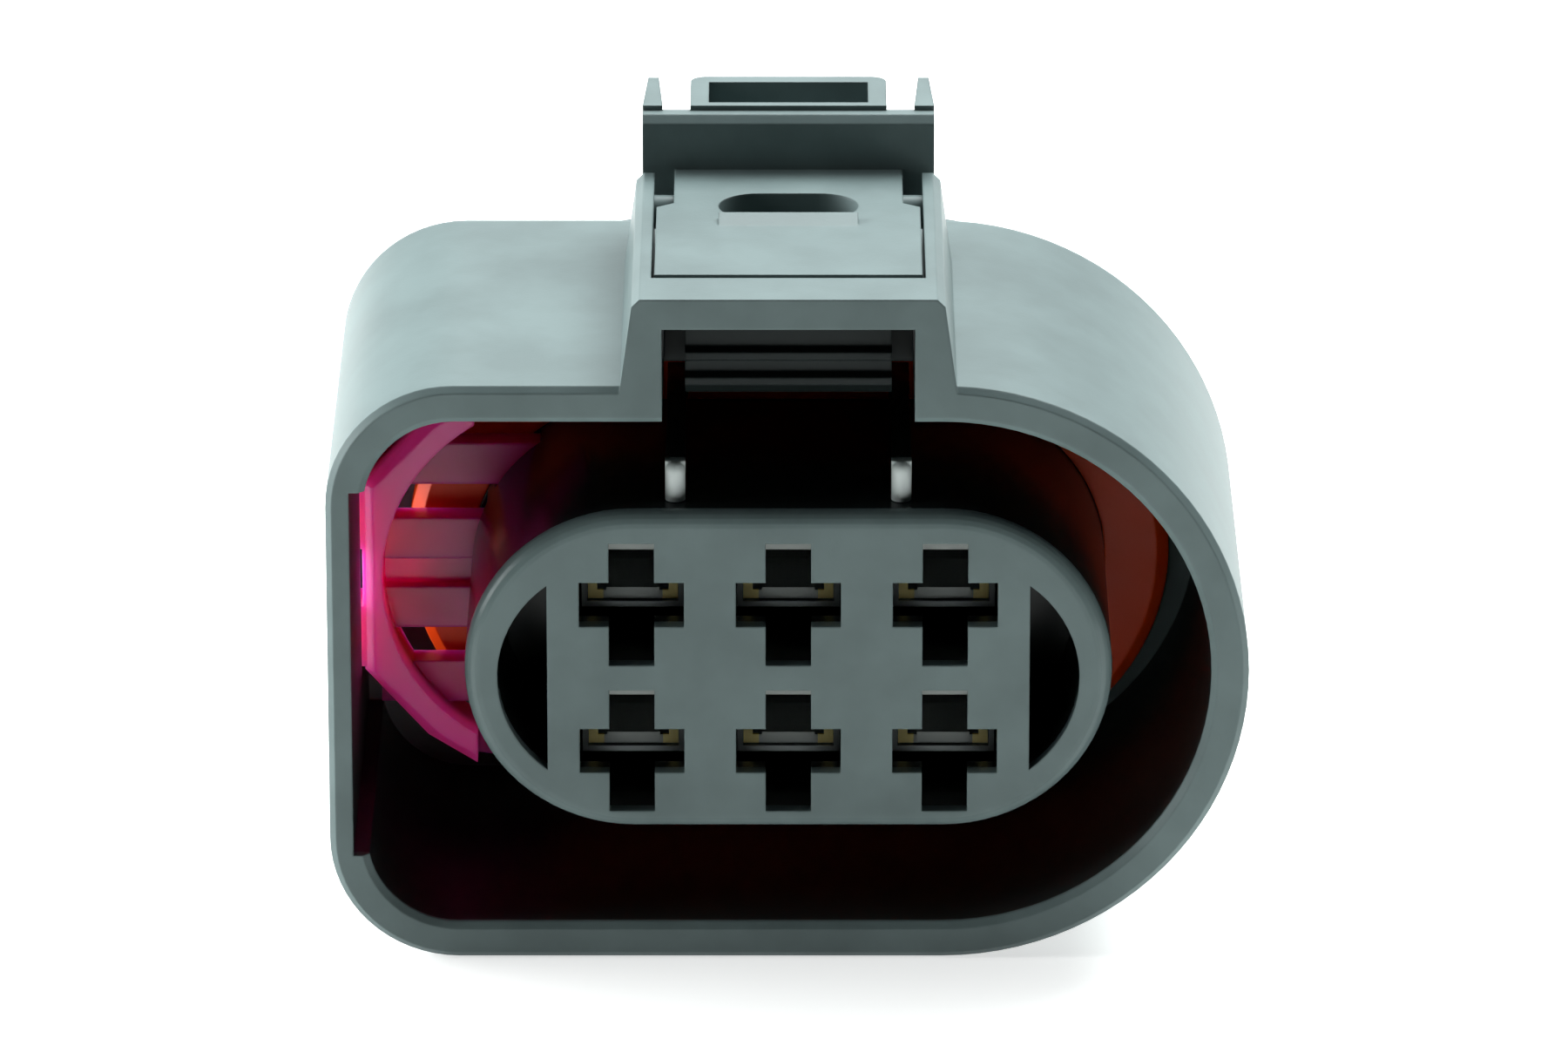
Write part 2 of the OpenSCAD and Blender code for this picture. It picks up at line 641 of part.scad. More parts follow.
// The thumb pad: a wall across the lever, a hollow block behind its middle and a rib behind each
// of its ends
module thumb_pad() {
    top = bridge_top + pad_rise;
    block_y = pad_y + pad_t;
    block_top = top + pad_block_rise;
    side = pad_block_half_w - pad_block_r;
    rear = pad_rear - pad_block_r;
    along_x(-pad_half_w, pad_half_w)
        polygon([[pad_y, lever_under], [pad_y, top - pad_bevel], [pad_y + pad_bevel, top],
                 [block_y, top], [block_y, lever_under]]);
    difference() {
        union() {
            block([-pad_block_half_w, block_y - lap, lever_under], [pad_block_half_w, rear, block_top]);
            block([-side, block_y, lever_under], [side, pad_rear, block_top]);
            for (end = [-1, 1])
                translate([end * side, rear, lever_under])
                    cylinder(r = pad_block_r, h = block_top - lever_under);
        }
        block([-pad_block_half_w + pad_hollow_wall, block_y + pad_hollow_wall / 2,
               lever_under + pad_floor_t],
              [pad_block_half_w - pad_hollow_wall, pad_rear - pad_hollow_wall, top + cut]);
    }
    for (end = [0, 1])
        mirror([end, 0, 0])
            translate([0, 0, lever_under])
                linear_extrude(block_top - lever_under)
                    polygon([[pad_half_w, block_y - lap], [pad_half_w, block_y],
                             [pad_half_w - (ear_t - ear_tip) / 2, block_y + ear_l],
                             [pad_half_w - (ear_t + ear_tip) / 2, block_y + ear_l],
                             [pad_half_w - ear_t, block_y], [pad_half_w - ear_t, block_y - lap]]);
    block([-pad_half_w + ear_t / 2, pad_y + lap, lever_under],
          [pad_half_w - ear_t / 2, block_y + ear_l / 2, bridge_top]);
}

module latch_lever() {
    color("#5a6868") {
        lever_plate();
        hook();
        thumb_pad();
        for (side = [0, 1])
            mirror([side, 0, 0])
                translate([waist_half_w - lap, pivot_y, pivot_z])
                    rotate([0, 90, 0])
                        cylinder(r = pivot_r, h = socket_x - pivot_clear - waist_half_w + lap);
    }
}

// The lock's head, wrapped round the end of the core, with its bevelled front edge
module lock_head() {
    difference() {
        hull() {
            along_y(head_y + head_bevel, comb_rear) head_outline(0);
            along_y(head_y, head_y + head_bevel) head_outline(head_bevel);
        }
        lock_bore(head_y - cut);
    }
    difference() {
        for (up = [0, 1])
            mirror([0, 0, up])
                along_y(comb_y, comb_rear)
                    polygon([[head_x + arm_x - lap, head_half_h], [head_x + arm_x - lap, arm_z],
                             [head_x + arm_x + arm_l, arm_tip_z],
                             [head_x + arm_x + arm_l, head_half_h]]);
        lock_bore(comb_y - cut);
    }
}

module head_outline(inset)
    polygon([for (side = [1, -1], p = side > 0 ? [0, 1, 2] : [2, 1, 0])
        [[head_x + inset, side * head_half_h],
         [head_x + head_corner_x + inset, side * (head_corner_z - inset / 2)],
         [head_x + arm_x, side * (arm_z - inset)]][p]]);

// The round hollow in the head that clears the core when the lock is pushed home
module lock_bore(y0)
    translate([lock_arc_x, y0, 0]) to_y() cylinder(r = lock_arc_r, h = comb_rear + cut - y0);

module secondary_lock() {
    color("#e8449a")
    difference() {
        union() {
            lock_head();
            for (z = row_z, up = [0, 1])
                translate([0, 0, z]) mirror([0, 0, up])
                    along_y(comb_y, comb_rear) comb_bar();
            block([comb_root, comb_y + web_setback, row_z[1] + comb_top - lap],
                  [web_end, comb_rear, row_z[0] - comb_top + lap]);
            block([boss_x, boss_y, -boss_half_h], [head_x + lap, boss_rear, boss_half_h]);
        }
        block([boss_x - cut, boss_y - cut, -boss_groove],
              [head_x - lap, boss_rear + cut, boss_groove]);
    }
}

// The ring that seals against the mating half: two lips with grooves between them
module interface_seal() {
    low = seal_lip - seal_groove;
    step = seal_l / seal_flanks;
    color("#e0600f")
    round_core([[seal_fit, seal_y], [low, seal_y], [seal_lip, seal_y + step],
                [low, seal_y + 2 * step], [low, seal_y + 3 * step], [seal_lip, seal_y + 4 * step],
                [low, seal_y + 5 * step], [low, floor_y], [seal_fit, floor_y]]);
}

// The copper-alloy contact: a box with two arms that grip the blade, a neck and two crimps
module contact(i) {
    wire_crimp_y = comb_rear + crimp_lead;
    translate(seat(i)) color("#b87a45") {
        along_y(contact_tip + strip_t, shoulder_y)
            difference() {
                square([box_w, box_h], center = true);
                square([box_w, box_h] - [2, 2] * strip_t, center = true);
            }
        along_y(shoulder_y - strip_t, shoulder_y)
            square([box_w - strip_t, box_h - strip_t], center = true);
        for (up = [0, 1])
            mirror([0, 0, up])
                along_x(-box_w / 2 + 2 * strip_t, box_w / 2 - 2 * strip_t) contact_arm();
        along_y(shoulder_y - lap, wire_crimp_y + strip_t) neck_section();
        tube(wire_crimp_r, wire_crimp_bore_r, wire_crimp_y, wire_crimp_y + wire_crimp_l);
        tube(seal_neck_r + seal_neck_clear + strip_t, seal_neck_r + seal_neck_clear,
             seal_crimp_end - seal_crimp_l, seal_crimp_end);
        block([-neck_w / 2, wire_crimp_y + wire_crimp_l - strip_t, -seal_neck_r - strip_t + lap],
              [neck_w / 2, seal_crimp_end - seal_crimp_l + lap, -wire_crimp_r + strip_t]);
    }
}

// A tube along Y between two depths
module tube(outer, inner, y0, y1)
    turned([[inner, y0], [outer, y0], [outer, y1], [inner, y1]]);

// One contact arm in Y and Z: flared at the mouth, tightest at the nip, rooted in the box
module contact_arm() {
    nip_y = contact_tip + nip_depth;
    root_y = contact_tip + arm_root;
    root_z = box_h / 2 - strip_t + lap;
    polygon([[contact_tip, arm_mouth / 2], [nip_y, arm_nip / 2], [root_y, root_z - strip_t],
             [root_y, root_z], [nip_y, arm_nip / 2 + strip_t],
             [contact_tip, arm_mouth / 2 + strip_t]]);
}

// The neck's section: a shallow channel, open at the top
module neck_section() {
    difference() {
        square([neck_w, neck_h], center = true);
        translate([0, strip_t]) square([neck_w - 2 * strip_t, neck_h], center = true);
    }
}

// The steel over-spring: a cage clipped round the box, with a locking lance above and below
module contact_spring(i) {
    cage_end = lance_ledge + cage_tail;
    tip = lance_ledge - lance_play;
    root = tip - lance_l;
    translate(seat(i)) color("#b9bec2") {
        along_y(contact_tip + cage_lead, cage_end)
            difference() {
                square([cage_w, cage_h], center = true);
                square([box_w, box_h] + [2, 2] * cage_fit, center = true);
            }
        for (up = [0, 1])
            mirror([0, 0, up])
                along_x(-lance_w / 2, lance_w / 2)
                    polygon([[root, cage_h / 2 - cage_t / 2], [root, cage_h / 2],
                             [tip, cage_h / 2 + lance_rise],
                             [tip, cage_h / 2 + lance_rise - cage_t],
                             [root + 3 * cage_t, cage_h / 2 - cage_t / 2]]);
    }
}

// The silicone seal round one wire: a neck for the crimp and three lips for the bore
module wire_seal(i) {
    lip_r = seal_bore_r - lip_clear;
    low = lip_r - lip_depth;
    lip = [[0, 0], [lip_depth, lip_pitch / 5], [lip_depth, lip_pitch / 3], [0, lip_pitch / 2]];
    lips = [for (n = [0 : lip_count - 1], p = lip)
        [low + p[0], seal_body_y + lip_lead + n * lip_pitch + p[1]]];
    translate(seat(i)) color("#3f74a8")
        turned(concat(
            [[wire_r, seal_body_y - seal_neck_l], [seal_neck_r, seal_body_y - seal_neck_l],
             [seal_neck_r, seal_body_y], [low, seal_body_y]],
            lips,
            [[low, wire_seal_end - tail_l], [lip_r - tail_bevel, wire_seal_end - tail_l + tail_bevel],
             [lip_r - tail_bevel, wire_seal_end], [wire_r, wire_seal_end]]));
}

housing();
latch_lever();
secondary_lock();
interface_seal();
for (i = [0 : 2 * columns - 1]) {
    contact(i);
    contact_spring(i);
    wire_seal(i);
}
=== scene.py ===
"""Looks of a sealed six-way connector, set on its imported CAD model. Lengths are in metres."""

import math

import bpy
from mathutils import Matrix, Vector


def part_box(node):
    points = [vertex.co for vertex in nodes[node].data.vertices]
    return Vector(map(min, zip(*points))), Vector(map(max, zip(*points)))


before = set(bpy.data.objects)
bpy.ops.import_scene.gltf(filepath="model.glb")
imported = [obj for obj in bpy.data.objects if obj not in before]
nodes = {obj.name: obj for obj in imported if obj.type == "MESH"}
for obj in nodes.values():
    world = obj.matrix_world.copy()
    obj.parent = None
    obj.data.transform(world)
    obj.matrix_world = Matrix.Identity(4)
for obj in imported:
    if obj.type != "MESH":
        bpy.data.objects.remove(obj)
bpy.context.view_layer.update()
MM = 0.001


# --- Housing ----------------------------------------------------------------------------------
# The one-piece moulding that carries everything else: shroud, core, latch bridge and rear block.
# It is injection moulded in glass-filled polyester, with a satin grain from the spark-eroded tool.
# The core's side and the guide ribs are polished, because the mating half slides on them.

def srgb(code):
    """The linear colour of an sRGB hex code.

    A channel c becomes c / 12.92 near black and ((c + 0.055) / 1.055) ^ 2.4 above it.
    """
    channels = [int(code[i:i + 2], 16) / 255 for i in (1, 3, 5)]
    return [c / 12.92 if c <= 0.04045 else ((c + 0.055) / 1.055) ** 2.4 for c in channels] + [1.0]


def add_node(tree, kind, values=None, links=None, **settings):
    """Adds a node: settings are its properties, values its constant inputs, links its fed ones."""
    node = tree.nodes.new(kind)
    for name, value in settings.items():
        setattr(node, name, value)
    for name, value in (values or {}).items():
        node.inputs[name].default_value = value
    for name, source in (links or {}).items():
        tree.links.new(source, node.inputs[name])
    return node


def new_material(name):
    """An empty node material with its output node, and Object coordinates to hang patterns on."""
    material = bpy.data.materials.new(name)
    material.use_nodes = True
    tree = material.node_tree
    tree.nodes.clear()
    output = add_node(tree, "ShaderNodeOutputMaterial")
    place = add_node(tree, "ShaderNodeTexCoord").outputs["Object"]
    return material, tree, output, place


def dress(node, material):
    """Gives a CAD node a material in every slot that its mesh uses."""
    for material_slot in nodes[node].material_slots:
        material_slot.material = material


# The shroud's outline is a large half turn at the right, round the same centre as the seal's, and
# two small corners at the left. The masks below end half way through its wall
housing_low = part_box("housing")[0]
seal_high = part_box("interface_seal")[1]
shroud_half_h = -housing_low.z
arc_centre = seal_high.x - seal_high.z
half_wall = 0.6 * MM
corner_r = 4.1 * MM
inside_half_h = shroud_half_h - half_wall

# The core stands inside the seal, with its edge rounded and two guide ribs on top
seal_thickness = 2.15 * MM
rib_height = 1.4 * MM
core_half_h = seal_high.z - seal_thickness
rib_top = core_half_h + rib_height
core_edge = 0.5 * MM
nose_start, nose_end = 1.3 * MM, 1.7 * MM

tunnel_half_w, tunnel_top = 4.05 * MM, 11.75 * MM
face_skin = 0.02 * MM

dark_flow, pale_flow = "#627070", "#6c7b7b"
# The first is painted shade inside the shroud, the second a painted highlight on the ribs' noses
painted_inside_shade, nose_highlight_colour = "#1e2525", "#e2eae8"
cloud_size, grain_size = 3.5 * MM, 0.12 * MM
grain_height = 0.02 * MM
housing_edge = 0.1 * MM
eroded_least, eroded_most, polished_roughness = 0.37, 0.47, 0.21
eroded_grain, polished_grain = 0.15, 0.02

housing_plastic, tree, output, place = new_material("glass_filled_polyester_grey_green")

# How far a place is from the shroud's middle, up or down and to either side
axes = add_node(tree, "ShaderNodeSeparateXYZ", links={"Vector": place}).outputs
tall = add_node(tree, "ShaderNodeMath", links={0: axes["Z"]}, operation="ABSOLUTE")
aside = add_node(tree, "ShaderNodeMath", links={0: axes["X"]}, operation="ABSOLUTE")

# Inside the large half turn at the right and between the flat top and bottom
beyond_arc = add_node(tree, "ShaderNodeMath", {1: arc_centre}, {0: axes["X"]},
                      operation="SUBTRACT")
beyond_arc = add_node(tree, "ShaderNodeMath", {1: 0.0}, {0: beyond_arc.outputs[0]},
                      operation="MAXIMUM")
arc_place = add_node(tree, "ShaderNodeCombineXYZ",
                     links={"X": beyond_arc.outputs[0], "Z": tall.outputs[0]})
arc_reach = add_node(tree, "ShaderNodeVectorMath", links={0: arc_place.outputs[0]},
                     operation="LENGTH")
in_arc = add_node(tree, "ShaderNodeMath", {1: inside_half_h}, {0: arc_reach.outputs["Value"]},
                  operation="LESS_THAN")

# Inside the two small corners at the left
beyond_side = add_node(tree, "ShaderNodeMath", {0: housing_low.x + corner_r}, {1: axes["X"]},
                       operation="SUBTRACT")
beyond_side = add_node(tree, "ShaderNodeMath", {1: 0.0}, {0: beyond_side.outputs[0]},
                       operation="MAXIMUM")
above = add_node(tree, "ShaderNodeMath", {1: shroud_half_h - corner_r}, {0: tall.outputs[0]},
                 operation="SUBTRACT")
above = add_node(tree, "ShaderNodeMath", {1: 0.0}, {0: above.outputs[0]}, operation="MAXIMUM")
corner_place = add_node(tree, "ShaderNodeCombineXYZ",
                        links={"X": beyond_side.outputs[0], "Z": above.outputs[0]})
corner_reach = add_node(tree, "ShaderNodeVectorMath", links={0: corner_place.outputs[0]},
                        operation="LENGTH")
in_corner = add_node(tree, "ShaderNodeMath", {1: corner_r - half_wall},
                     {0: corner_reach.outputs["Value"]}, operation="LESS_THAN")

# Within reach of the core and its ribs: the distance from the core's middle line, in X and Z
beyond_core = add_node(tree, "ShaderNodeMath", {1: arc_centre}, {0: aside.outputs[0]},
                       operation="SUBTRACT")
beyond_core = add_node(tree, "ShaderNodeMath", {1: 0.0}, {0: beyond_core.outputs[0]},
                       operation="MAXIMUM")
core_place = add_node(tree, "ShaderNodeCombineXYZ",
                      links={"X": beyond_core.outputs[0], "Z": tall.outputs[0]})
core_reach = add_node(tree, "ShaderNodeVectorMath", links={0: core_place.outputs[0]},
                      operation="LENGTH")
on_core = add_node(tree, "ShaderNodeMath", {1: rib_top}, {0: core_reach.outputs["Value"]},
                   operation="LESS_THAN")

# Polished: the core and its ribs behind the front face, as far back as the seal reaches
behind_face = add_node(tree, "ShaderNodeMath", {1: face_skin}, {0: axes["Y"]},
                       operation="GREATER_THAN")
in_front = add_node(tree, "ShaderNodeMath", {1: seal_high.y}, {0: axes["Y"]},
                    operation="LESS_THAN")
polished = add_node(tree, "ShaderNodeMath",
                    links={0: on_core.outputs[0], 1: behind_face.outputs[0]},
                    operation="MULTIPLY")
polished = add_node(tree, "ShaderNodeMath",
                    links={0: polished.outputs[0], 1: in_front.outputs[0]},
                    operation="MULTIPLY")

# Inside the tunnel that the latch's catch works in, above the shroud's opening
in_width = add_node(tree, "ShaderNodeMath", {1: tunnel_half_w}, {0: aside.outputs[0]},
                    operation="LESS_THAN")
tunnel_middle = (tunnel_top + inside_half_h) / 2
in_height = add_node(tree, "ShaderNodeMath", {1: tunnel_middle, 2: tunnel_top - tunnel_middle},
                     {0: axes["Z"]}, operation="COMPARE")
in_tunnel = add_node(tree, "ShaderNodeMath",
                     links={0: in_width.outputs[0], 1: in_height.outputs[0]},
                     operation="MULTIPLY")

# Painted shade: a darker colour inside the shroud and the tunnel. It is chosen for looks and
# isn't a finish of the real moulding: it paints in the shade that makes the inside read as deep
# as it is. It starts at the rim on the wall, behind its rounded edge on the core, and behind
# their noses on the ribs
off_core = add_node(tree, "ShaderNodeMath", {1: core_half_h + face_skin},
                    {0: core_reach.outputs["Value"]}, operation="GREATER_THAN")
on_rib = add_node(tree, "ShaderNodeMath", links={0: off_core.outputs[0], 1: on_core.outputs[0]},
                  operation="MULTIPLY")
skin_start = add_node(tree, "ShaderNodeMath", {1: core_edge - face_skin, 2: face_skin},
                      {0: on_core.outputs[0]}, operation="MULTIPLY_ADD")
skin_start = add_node(tree, "ShaderNodeMath", {1: nose_end - core_edge},
                      {0: on_rib.outputs[0], 2: skin_start.outputs[0]}, operation="MULTIPLY_ADD")
past_edge = add_node(tree, "ShaderNodeMath", links={0: axes["Y"], 1: skin_start.outputs[0]},
                     operation="GREATER_THAN")
painted_shade_mask = add_node(tree, "ShaderNodeMath", links={0: in_arc.outputs[0], 1: in_corner.outputs[0]},
                 operation="MULTIPLY")
painted_shade_mask = add_node(tree, "ShaderNodeMath", links={0: painted_shade_mask.outputs[0], 1: in_tunnel.outputs[0]},
                 operation="MAXIMUM")
painted_shade_mask = add_node(tree, "ShaderNodeMath", links={0: painted_shade_mask.outputs[0], 1: past_edge.outputs[0]},
                 operation="MULTIPLY")
painted_shade_mask = add_node(tree, "ShaderNodeMath", links={0: painted_shade_mask.outputs[0], 1: in_front.outputs[0]},
                 operation="MULTIPLY")

# Painted highlight: the noses of the ribs are pale, standing for the glints on their rounded
# fronts. This is chosen for looks
nose = add_node(tree, "ShaderNodeMapRange",
                {"From Min": nose_start, "From Max": nose_end, "To Min": 1.0, "To Max": 0.0},
                {"Value": axes["Y"]})
nose_highlight_mask = add_node(tree, "ShaderNodeMath",
                  links={0: on_rib.outputs[0], 1: nose.outputs["Result"]}, operation="MULTIPLY")

# Faint clouds where the melt flowed, in colour and in gloss
clouds = add_node(tree, "ShaderNodeTexNoise",
                  {"Scale": 1 / cloud_size, "Detail": 3, "Roughness": 0.6}, {"Vector": place})
colour = add_node(tree, "ShaderNodeValToRGB", links={"Fac": clouds.outputs["Fac"]})
for stop, (position, code) in zip(colour.color_ramp.elements,
                                  [(0.35, dark_flow), (0.65, pale_flow)]):
    stop.position = position
    stop.color = srgb(code)
# The painted shade inside the shroud, then the painted highlight on the ribs' noses, over the
# clouds
tone_with_painted_shade = add_node(tree, "ShaderNodeMix", {7: srgb(painted_inside_shade)},
                 {0: painted_shade_mask.outputs[0], 6: colour.outputs["Color"]}, data_type="RGBA")
tone = add_node(tree, "ShaderNodeMix", {7: srgb(nose_highlight_colour)},
                {0: nose_highlight_mask.outputs[0], 6: tone_with_painted_shade.outputs[2]}, data_type="RGBA")
eroded_gloss = add_node(tree, "ShaderNodeMapRange",
                        {"To Min": eroded_least, "To Max": eroded_most},
                        {"Value": clouds.outputs["Fac"]})
gloss = add_node(tree, "ShaderNodeMix", {"B": polished_roughness},
                 {"Factor": polished.outputs[0], "A": eroded_gloss.outputs["Result"]},
                 data_type="FLOAT")

# The eroded grain, much coarser than real so that it shows, and fainter where the tool is polished
grain = add_node(tree, "ShaderNodeTexNoise", {"Scale": 1 / grain_size, "Detail": 2},
                 {"Vector": place})
grain_depth = add_node(tree, "ShaderNodeMapRange",
                       {"To Min": eroded_grain, "To Max": polished_grain},
                       {"Value": polished.outputs[0]})
edge = add_node(tree, "ShaderNodeBevel", {"Radius": housing_edge}, samples=4)
bump = add_node(tree, "ShaderNodeBump", {"Distance": grain_height},
                {"Height": grain.outputs["Fac"], "Normal": edge.outputs["Normal"],
                 "Strength": grain_depth.outputs["Result"]})

# The specular level is below that of plain plastic, chosen for looks: it keeps the inside dark
shader = add_node(tree, "ShaderNodeBsdfPrincipled", {"IOR": 1.5, "Specular IOR Level": 0.2},
                  {"Base Color": tone.outputs[2], "Roughness": gloss.outputs["Result"],
                   "Normal": bump.outputs["Normal"]})
tree.links.new(shader.outputs["BSDF"], output.inputs["Surface"])
dress("housing", housing_plastic)


# --- Interface seal ---------------------------------------------------------------------------
# The ring of self-lubricating silicone stretched over the core. It is compression moulded, so
# it is smooth and a little oily.

film_size = 1.2 * MM
film_change = 0.08
seal_edge = 0.12 * MM
seal_light_depth = 0.6 * MM


def silicone(name, code, roughness):
    """Moulded silicone: an even colour, soft gloss from its oil film, a little light inside."""
    material, tree, output, place = new_material(name)
    film = add_node(tree, "ShaderNodeTexNoise", {"Scale": 1 / film_size, "Detail": 2},
                    {"Vector": place})
    gloss = add_node(tree, "ShaderNodeMapRange",
                     {"To Min": roughness - film_change, "To Max": roughness + film_change},
                     {"Value": film.outputs["Fac"]})
    edge = add_node(tree, "ShaderNodeBevel", {"Radius": seal_edge}, samples=4)
    shader = add_node(tree, "ShaderNodeBsdfPrincipled",
                      {"Base Color": srgb(code), "IOR": 1.41, "Subsurface Weight": 0.15,
                       "Subsurface Radius": (1.0, 0.35, 0.1),
                       "Subsurface Scale": seal_light_depth},
                      {"Roughness": gloss.outputs["Result"], "Normal": edge.outputs["Normal"]})
    tree.links.new(shader.outputs["BSDF"], output.inputs["Surface"])
    return material


dress("interface_seal", silicone("silicone_rubber_orange", "#f84a08", roughness=0.45))


# --- Contacts, over-springs and wire seals ----------------------------------------------------
# Six stamped contacts of copper alloy, each with a cage of spring steel clipped round its box and
# a small silicone seal on its rear crimp. The tin on the contacts is dull, and the steel is bare
# and a little brighter.

first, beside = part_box("contact_1"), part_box("contact_2")
pitch = beside[0].x - first[0].x
box_half_w = (first[1].x - first[0].x) / 2
# The size of the painted glints at the boxes' front corners, and the colours of the tin and glints
glint_width, glint_depth = 0.5 * MM, 0.4 * MM
dull_tin, glint_alloy_colour = "#b0b5b2", "#fbeaa4"

line_width = 0.08 * MM
along_scale = 0.06
line_change = 0.06
line_height = 0.01 * MM


def rolled_metal(name, code, metallic, roughness):
    """Strip metal with fine rolling lines along the strip, drawn wider than real so they show."""
    material, tree, output, place = new_material(name)
    stretched = add_node(tree, "ShaderNodeMapping", {"Scale": (1, along_scale, 1)},
                         {"Vector": place})
    lines = add_node(tree, "ShaderNodeTexNoise", {"Scale": 1 / line_width, "Detail": 2},
                     {"Vector": stretched.outputs["Vector"]})
    gloss = add_node(tree, "ShaderNodeMapRange",
                     {"To Min": roughness - line_change, "To Max": roughness + line_change},
                     {"Value": lines.outputs["Fac"]})
    bump = add_node(tree, "ShaderNodeBump", {"Strength": 0.1, "Distance": line_height},
                    {"Height": lines.outputs["Fac"]})
    shader = add_node(tree, "ShaderNodeBsdfPrincipled",
                      {"Base Color": srgb(code), "Metallic": metallic},
                      {"Roughness": gloss.outputs["Result"], "Normal": bump.outputs["Normal"]})
    tree.links.new(shader.outputs["BSDF"], output.inputs["Surface"])
    return material, tree, place, shader


# The tin is only half metallic, chosen for looks, so that it doesn't go black inside the cavities
contact_metal, tree, place, shader = rolled_metal("copper_alloy_strip_tinned_dull", dull_tin,
                                                  metallic=0.5, roughness=0.5)
axes = add_node(tree, "ShaderNodeSeparateXYZ", links={"Vector": place}).outputs

# A painted glint in the colour of bare alloy at the front corners of each box. This too is
# chosen for looks. A place across its own column runs from minus to plus half a pitch: the wrap
# repeats it
across = add_node(tree, "ShaderNodeMath", {1: pitch / 2, 2: -pitch / 2}, {0: axes["X"]},
                  operation="WRAP")
across = add_node(tree, "ShaderNodeMath", links={0: across.outputs[0]}, operation="ABSOLUTE")
end = add_node(tree, "ShaderNodeMath", {1: box_half_w - glint_width}, {0: across.outputs[0]},
               operation="GREATER_THAN")
front = add_node(tree, "ShaderNodeMath", {1: first[0].y + glint_depth}, {0: axes["Y"]},
                 operation="LESS_THAN")
glint_corner_mask = add_node(tree, "ShaderNodeMath", links={0: end.outputs[0], 1: front.outputs[0]},
                operation="MULTIPLY")
alloy = add_node(tree, "ShaderNodeMix", {6: srgb(dull_tin), 7: srgb(glint_alloy_colour)},
                 {0: glint_corner_mask.outputs[0]}, data_type="RGBA")
tree.links.new(alloy.outputs[2], shader.inputs["Base Color"])

spring_metal = rolled_metal("spring_steel_strip", "#a4abab", metallic=1.0, roughness=0.42)[0]
wire_seal_rubber = silicone("silicone_rubber_blue", "#2b5680", roughness=0.42)
for number in range(1, 7):
    dress(f"contact_{number}", contact_metal)
    dress(f"contact_spring_{number}", spring_metal)
    dress(f"wire_seal_{number}", wire_seal_rubber)


# --- Secondary lock ---------------------------------------------------------------------------
# The magenta comb that slides in from the left and bars the contacts' way out. It is a small
# moulding in unfilled polyester, smoother and glossier than the housing, and light spreads in it.

lock_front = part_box("secondary_lock")[0].y
band_start, band_end = 0.4 * MM, 1.2 * MM
deep_magenta, clear_magenta = "#c41478", "#dc208c"
band_pink, band_glow = "#ff50a8", "#6a1038"
flow_size = 2.5 * MM
lock_edge = 0.12 * MM
lock_light_depth = 3 * MM

lock_plastic, tree, output, place = new_material("unfilled_polyester_magenta")
flow = add_node(tree, "ShaderNodeTexNoise", {"Scale": 1 / flow_size, "Detail": 2},
                {"Vector": place})
pigment = add_node(tree, "ShaderNodeValToRGB", links={"Fac": flow.outputs["Fac"]})
for stop, (position, code) in zip(pigment.color_ramp.elements,
                                  [(0.3, deep_magenta), (0.7, clear_magenta)]):
    stop.position = position
    stop.color = srgb(code)

# The front band, brighter than the rest and with a weak glow of its own. Both are chosen for
# looks: they stand for the light that a translucent edge gathers, more than the shader carries
axes = add_node(tree, "ShaderNodeSeparateXYZ", links={"Vector": place}).outputs
band = add_node(tree, "ShaderNodeMapRange",
                {"From Min": lock_front + band_start, "From Max": lock_front + band_end,
                 "To Min": 1.0, "To Max": 0.0}, {"Value": axes["Y"]})
tint = add_node(tree, "ShaderNodeMix", {7: srgb(band_pink)},
                {0: band.outputs["Result"], 6: pigment.outputs["Color"]}, data_type="RGBA")
shine = add_node(tree, "ShaderNodeMix", {6: srgb("#000000"), 7: srgb(band_glow)},
                 {0: band.outputs["Result"]}, data_type="RGBA")
edge = add_node(tree, "ShaderNodeBevel", {"Radius": lock_edge}, samples=4)
shader = add_node(tree, "ShaderNodeBsdfPrincipled",
                  {"Roughness": 0.28, "IOR": 1.55, "Specular IOR Level": 0.35,
                   "Emission Strength": 1.0, "Subsurface Weight": 0.85,
                   "Subsurface Radius": (1.0, 0.25, 0.6), "Subsurface Scale": lock_light_depth},
                  {"Base Color": tint.outputs[2], "Emission Color": shine.outputs[2],
                   "Normal": edge.outputs["Normal"]})
tree.links.new(shader.outputs["BSDF"], output.inputs["Surface"])
dress("secondary_lock", lock_plastic)


# --- Latch lever ------------------------------------------------------------------------------
# The sprung lever with its catch and thumb pad. It is moulded in one with the housing, from the
# same material, so it shares the housing's grain.

dress("latch_lever", housing_plastic)


# --- Table, room, lamps and camera ------------------------------------------------------------
# A white table in a room that is bright at the back and dark at the front. A broad soft lamp
# stands above and behind, to the right, and another at the left, so the tops and the left side
# are bright, the table just in front lights the front faces, and the shroud's inside stays dark.

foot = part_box("housing")[0]
scene = bpy.context.scene
table_front, table_back, table_side = -0.06, 0.6, 0.4
table_gap = 0.01 * MM
table_z = foot.z - table_gap

table_mesh = bpy.data.meshes.new("table")
table_mesh.from_pydata([(-table_side, table_front, table_z), (table_side, table_front, table_z),
                        (table_side, table_back, table_z), (-table_side, table_back, table_z)],
                       [], [(0, 1, 2, 3)])
table = bpy.data.objects.new("table", table_mesh)
scene.collection.objects.link(table)

